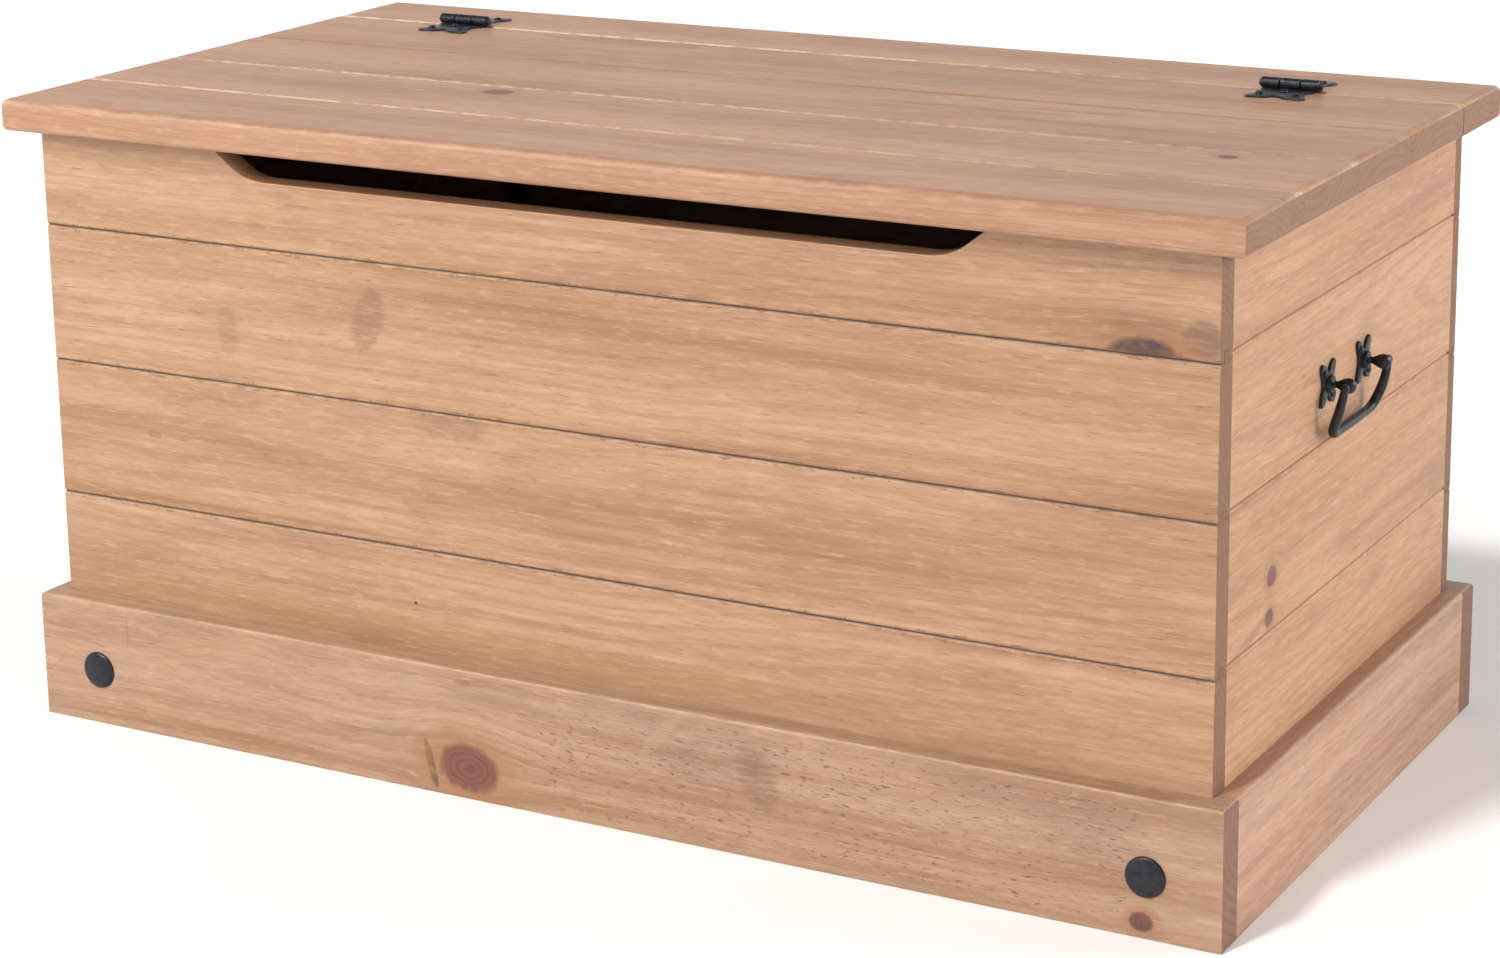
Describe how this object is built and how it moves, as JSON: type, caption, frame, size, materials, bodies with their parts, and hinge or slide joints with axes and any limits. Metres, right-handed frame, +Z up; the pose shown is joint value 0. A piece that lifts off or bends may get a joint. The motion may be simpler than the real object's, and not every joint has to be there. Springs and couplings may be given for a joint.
{
  "type": "wooden toy box",
  "caption": "Long pine toy box with a hinged boarded lid, a fixed back rail, a finger slot in front, a plinth with domed studs, and a swinging bail handle at each end.",
  "frame": {"origin": "on the floor, under the middle of the box's overall length and of its overall depth with the front studs", "axes": "+X along the length towards the right-hand handle seen from the front, -Y to the front, +Z up"},
  "size_m": [0.87, 0.4552, 0.435],
  "materials": {
    "waxed_pine": "satin wax over honey-stained pine",
    "raw_pine": "planed, lightly waxed",
    "plywood": "sanded, unfinished",
    "black_iron": "satin black",
    "steel_screws": "zinc plated"
  },
  "bodies": {
    "box": {"back_board_1": "waxed_pine", "back_board_2": "waxed_pine", "back_board_3": "waxed_pine", "back_board_4": "waxed_pine", "back_rail": "waxed_pine", "base_cleat_back": "raw_pine", "base_cleat_front": "raw_pine", "base_cleat_left": "raw_pine", "base_cleat_right": "raw_pine", "base_panel": "plywood", "corner_post_back_left": "raw_pine", "corner_post_back_right": "raw_pine", "corner_post_front_left": "raw_pine", "corner_post_front_right": "raw_pine", "front_board_1": "waxed_pine", "front_board_2": "waxed_pine", "front_board_3": "waxed_pine", "front_board_4": "waxed_pine", "handle_left_post_back": "black_iron", "handle_left_post_front": "black_iron", "handle_left_screws": "black_iron", "handle_right_post_back": "black_iron", "handle_right_post_front": "black_iron", "handle_right_screws": "black_iron", "hinge_left_pin": "black_iron", "hinge_left_rail_leaf": "black_iron", "hinge_rail_screws": "black_iron", "hinge_right_pin": "black_iron", "hinge_right_rail_leaf": "black_iron", "left_side_board_1": "waxed_pine", "left_side_board_2": "waxed_pine", "left_side_board_3": "waxed_pine", "left_side_board_4": "waxed_pine", "plinth_back": "waxed_pine", "plinth_block_back_left": "raw_pine", "plinth_block_back_right": "raw_pine", "plinth_block_front_left": "raw_pine", "plinth_block_front_right": "raw_pine", "plinth_front": "waxed_pine", "plinth_left": "waxed_pine", "plinth_right": "waxed_pine", "plinth_studs": "black_iron", "right_side_board_1": "waxed_pine", "right_side_board_2": "waxed_pine", "right_side_board_3": "waxed_pine", "right_side_board_4": "waxed_pine"},
    "lid": {"hinge_left_lid_leaf": "black_iron", "hinge_lid_screws": "black_iron", "hinge_right_lid_leaf": "black_iron", "lid_batten_left": "raw_pine", "lid_batten_right": "raw_pine", "lid_batten_screws": "steel_screws", "lid_board_1": "waxed_pine", "lid_board_2": "waxed_pine", "lid_board_3": "waxed_pine", "lid_board_4": "waxed_pine"},
    "bail_left": {"handle_left_bail": "black_iron"},
    "bail_right": {"handle_right_bail": "black_iron"}
  },
  "joints": [
    {"name": "lid_hinge", "type": "hinge", "parent": "box", "child": "lid", "pos_m": [0, 0.1516, 0.4313], "axis": [-1, 0, 0], "range_deg": [0, 100]},
    {"name": "bail_left_swing", "type": "hinge", "parent": "box", "child": "bail_left", "pos_m": [-0.4305, -0.0064, 0.289], "axis": [0, 1, 0], "range_deg": [-4, 216]},
    {"name": "bail_right_swing", "type": "hinge", "parent": "box", "child": "bail_right", "pos_m": [0.4305, -0.0064, 0.289], "axis": [0, -1, 0], "range_deg": [-4, 216]}
  ]
}
